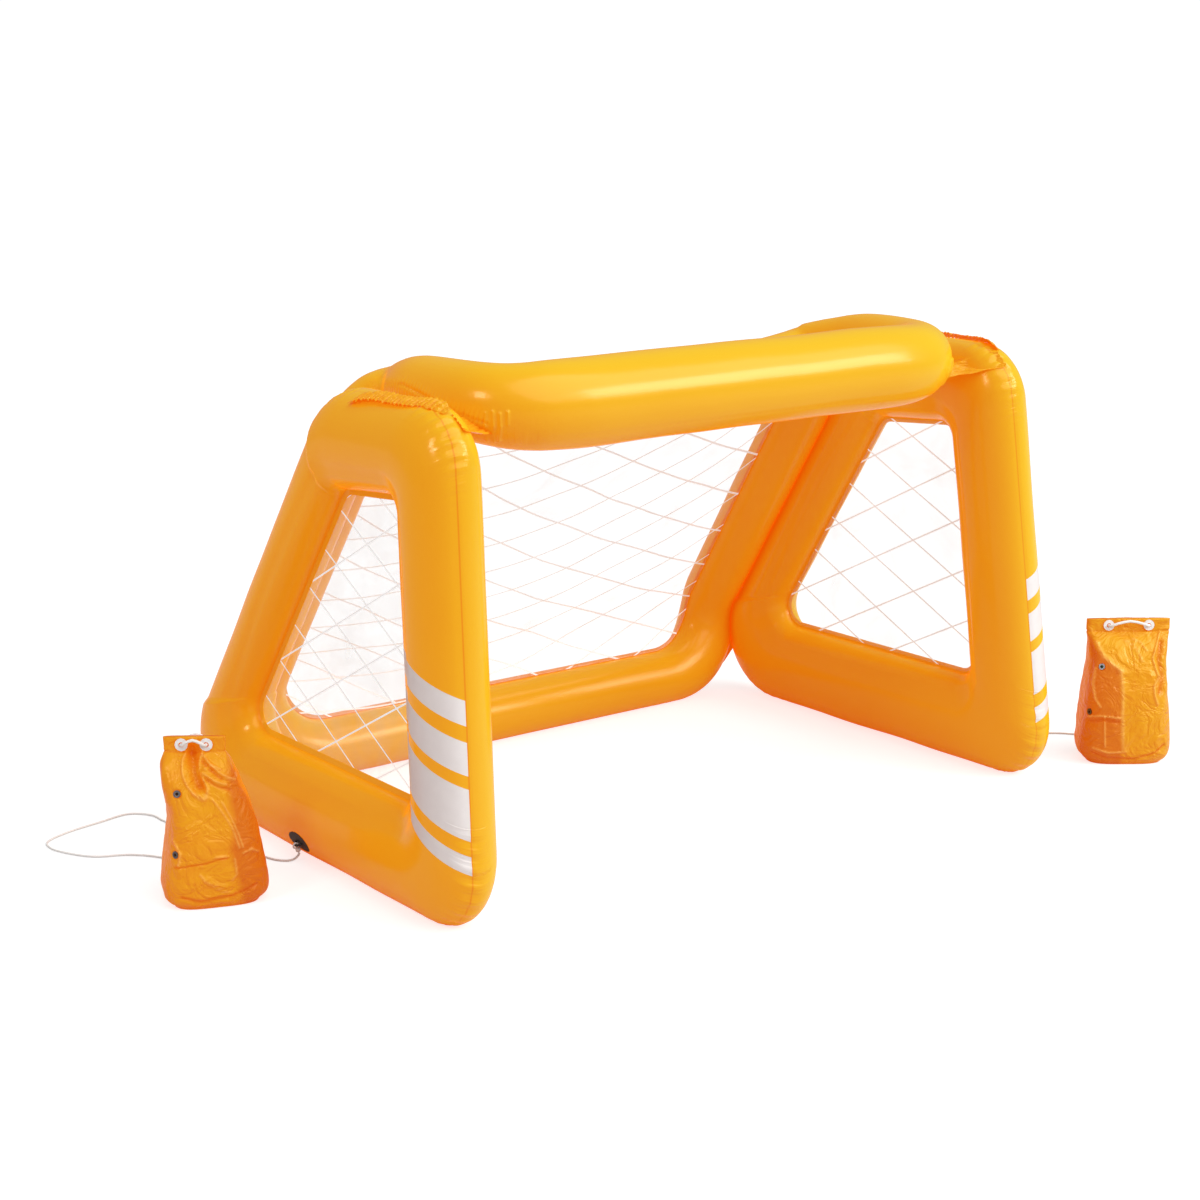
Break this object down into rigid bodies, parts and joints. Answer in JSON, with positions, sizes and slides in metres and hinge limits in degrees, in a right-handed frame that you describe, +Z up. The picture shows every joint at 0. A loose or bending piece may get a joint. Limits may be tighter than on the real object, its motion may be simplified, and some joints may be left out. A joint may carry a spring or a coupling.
{
  "type": "inflatable goal",
  "caption": "free-standing inflatable goal with tube frames, crossbar, printed net films, air valves and roped ballast bags",
  "frame": {"origin": "on the floor, under the middle of the box round everything but the two free ropes", "axes": "+Z up, +X to the right seen from the open front, +Y from the open front towards the net"},
  "size_m": [1.9706, 1.0169, 0.8681],
  "materials": {
    "yellow_vinyl": "glossy soft vinyl sheet, welded and blown up",
    "printed_net_film": "clear vinyl film with a white printed net",
    "orange_bag_vinyl": "semi-gloss vinyl sheet, creased",
    "white_plastic": "moulded white plastic",
    "white_rope": "laid white cord",
    "black_vinyl": "moulded black vinyl",
    "drain_metal": "dark plated metal ring"
  },
  "bodies": {
    "goal": {"left_side_frame": "yellow_vinyl", "left_net_film": "printed_net_film", "left_corner_flap": "yellow_vinyl", "left_corner_web": "yellow_vinyl", "left_valve_base": "yellow_vinyl", "left_anchor_patch": "black_vinyl", "left_rope_knot": "white_rope", "left_anchor_rope": "white_rope", "left_ballast_bag": "orange_bag_vinyl", "left_bag_front_handle": "white_rope", "left_bag_front_eyelet_left": "white_plastic", "left_bag_front_eyelet_right": "white_plastic", "left_bag_back_handle": "white_rope", "left_bag_back_eyelet_left": "white_plastic", "left_bag_back_eyelet_right": "white_plastic", "left_bag_drain_upper": "drain_metal", "left_bag_drain_lower": "drain_metal", "right_side_frame": "yellow_vinyl", "right_net_film": "printed_net_film", "right_corner_flap": "yellow_vinyl", "right_corner_web": "yellow_vinyl", "right_valve_base": "yellow_vinyl", "right_anchor_patch": "black_vinyl", "right_rope_knot": "white_rope", "right_anchor_rope": "white_rope", "right_ballast_bag": "orange_bag_vinyl", "right_bag_front_handle": "white_rope", "right_bag_front_eyelet_left": "white_plastic", "right_bag_front_eyelet_right": "white_plastic", "right_bag_back_handle": "white_rope", "right_bag_back_eyelet_left": "white_plastic", "right_bag_back_eyelet_right": "white_plastic", "right_bag_drain_upper": "drain_metal", "right_bag_drain_lower": "drain_metal", "rear_frame_with_crossbar": "yellow_vinyl", "rear_net_film": "printed_net_film", "rear_valve_base": "yellow_vinyl"},
    "left_valve_stem_body": {"left_valve_stem": "white_plastic", "left_valve_flap": "white_plastic"},
    "left_valve_stopper_body": {"left_valve_stopper": "white_plastic"},
    "right_valve_stem_body": {"right_valve_stem": "white_plastic", "right_valve_flap": "white_plastic"},
    "right_valve_stopper_body": {"right_valve_stopper": "white_plastic"},
    "rear_valve_stem_body": {"rear_valve_stem": "white_plastic", "rear_valve_flap": "white_plastic"},
    "rear_valve_stopper_body": {"rear_valve_stopper": "white_plastic"}
  },
  "joints": [
    {"name": "left_valve_stem_slide", "type": "slide", "parent": "goal", "child": "left_valve_stem_body", "axis": [-1, 0, 0], "range_m": [0, 0.008]},
    {"name": "left_valve_stopper_slide", "type": "slide", "parent": "left_valve_stem_body", "child": "left_valve_stopper_body", "axis": [-1, 0, 0], "range_m": [0, 0.01]},
    {"name": "right_valve_stem_slide", "type": "slide", "parent": "goal", "child": "right_valve_stem_body", "axis": [1, 0, 0], "range_m": [0, 0.008]},
    {"name": "right_valve_stopper_slide", "type": "slide", "parent": "right_valve_stem_body", "child": "right_valve_stopper_body", "axis": [1, 0, 0], "range_m": [0, 0.01]},
    {"name": "rear_valve_stem_slide", "type": "slide", "parent": "goal", "child": "rear_valve_stem_body", "axis": [0, 0.9397, 0.342], "range_m": [0, 0.008]},
    {"name": "rear_valve_stopper_slide", "type": "slide", "parent": "rear_valve_stem_body", "child": "rear_valve_stopper_body", "axis": [0, 0.9397, 0.342], "range_m": [0, 0.01]}
  ]
}
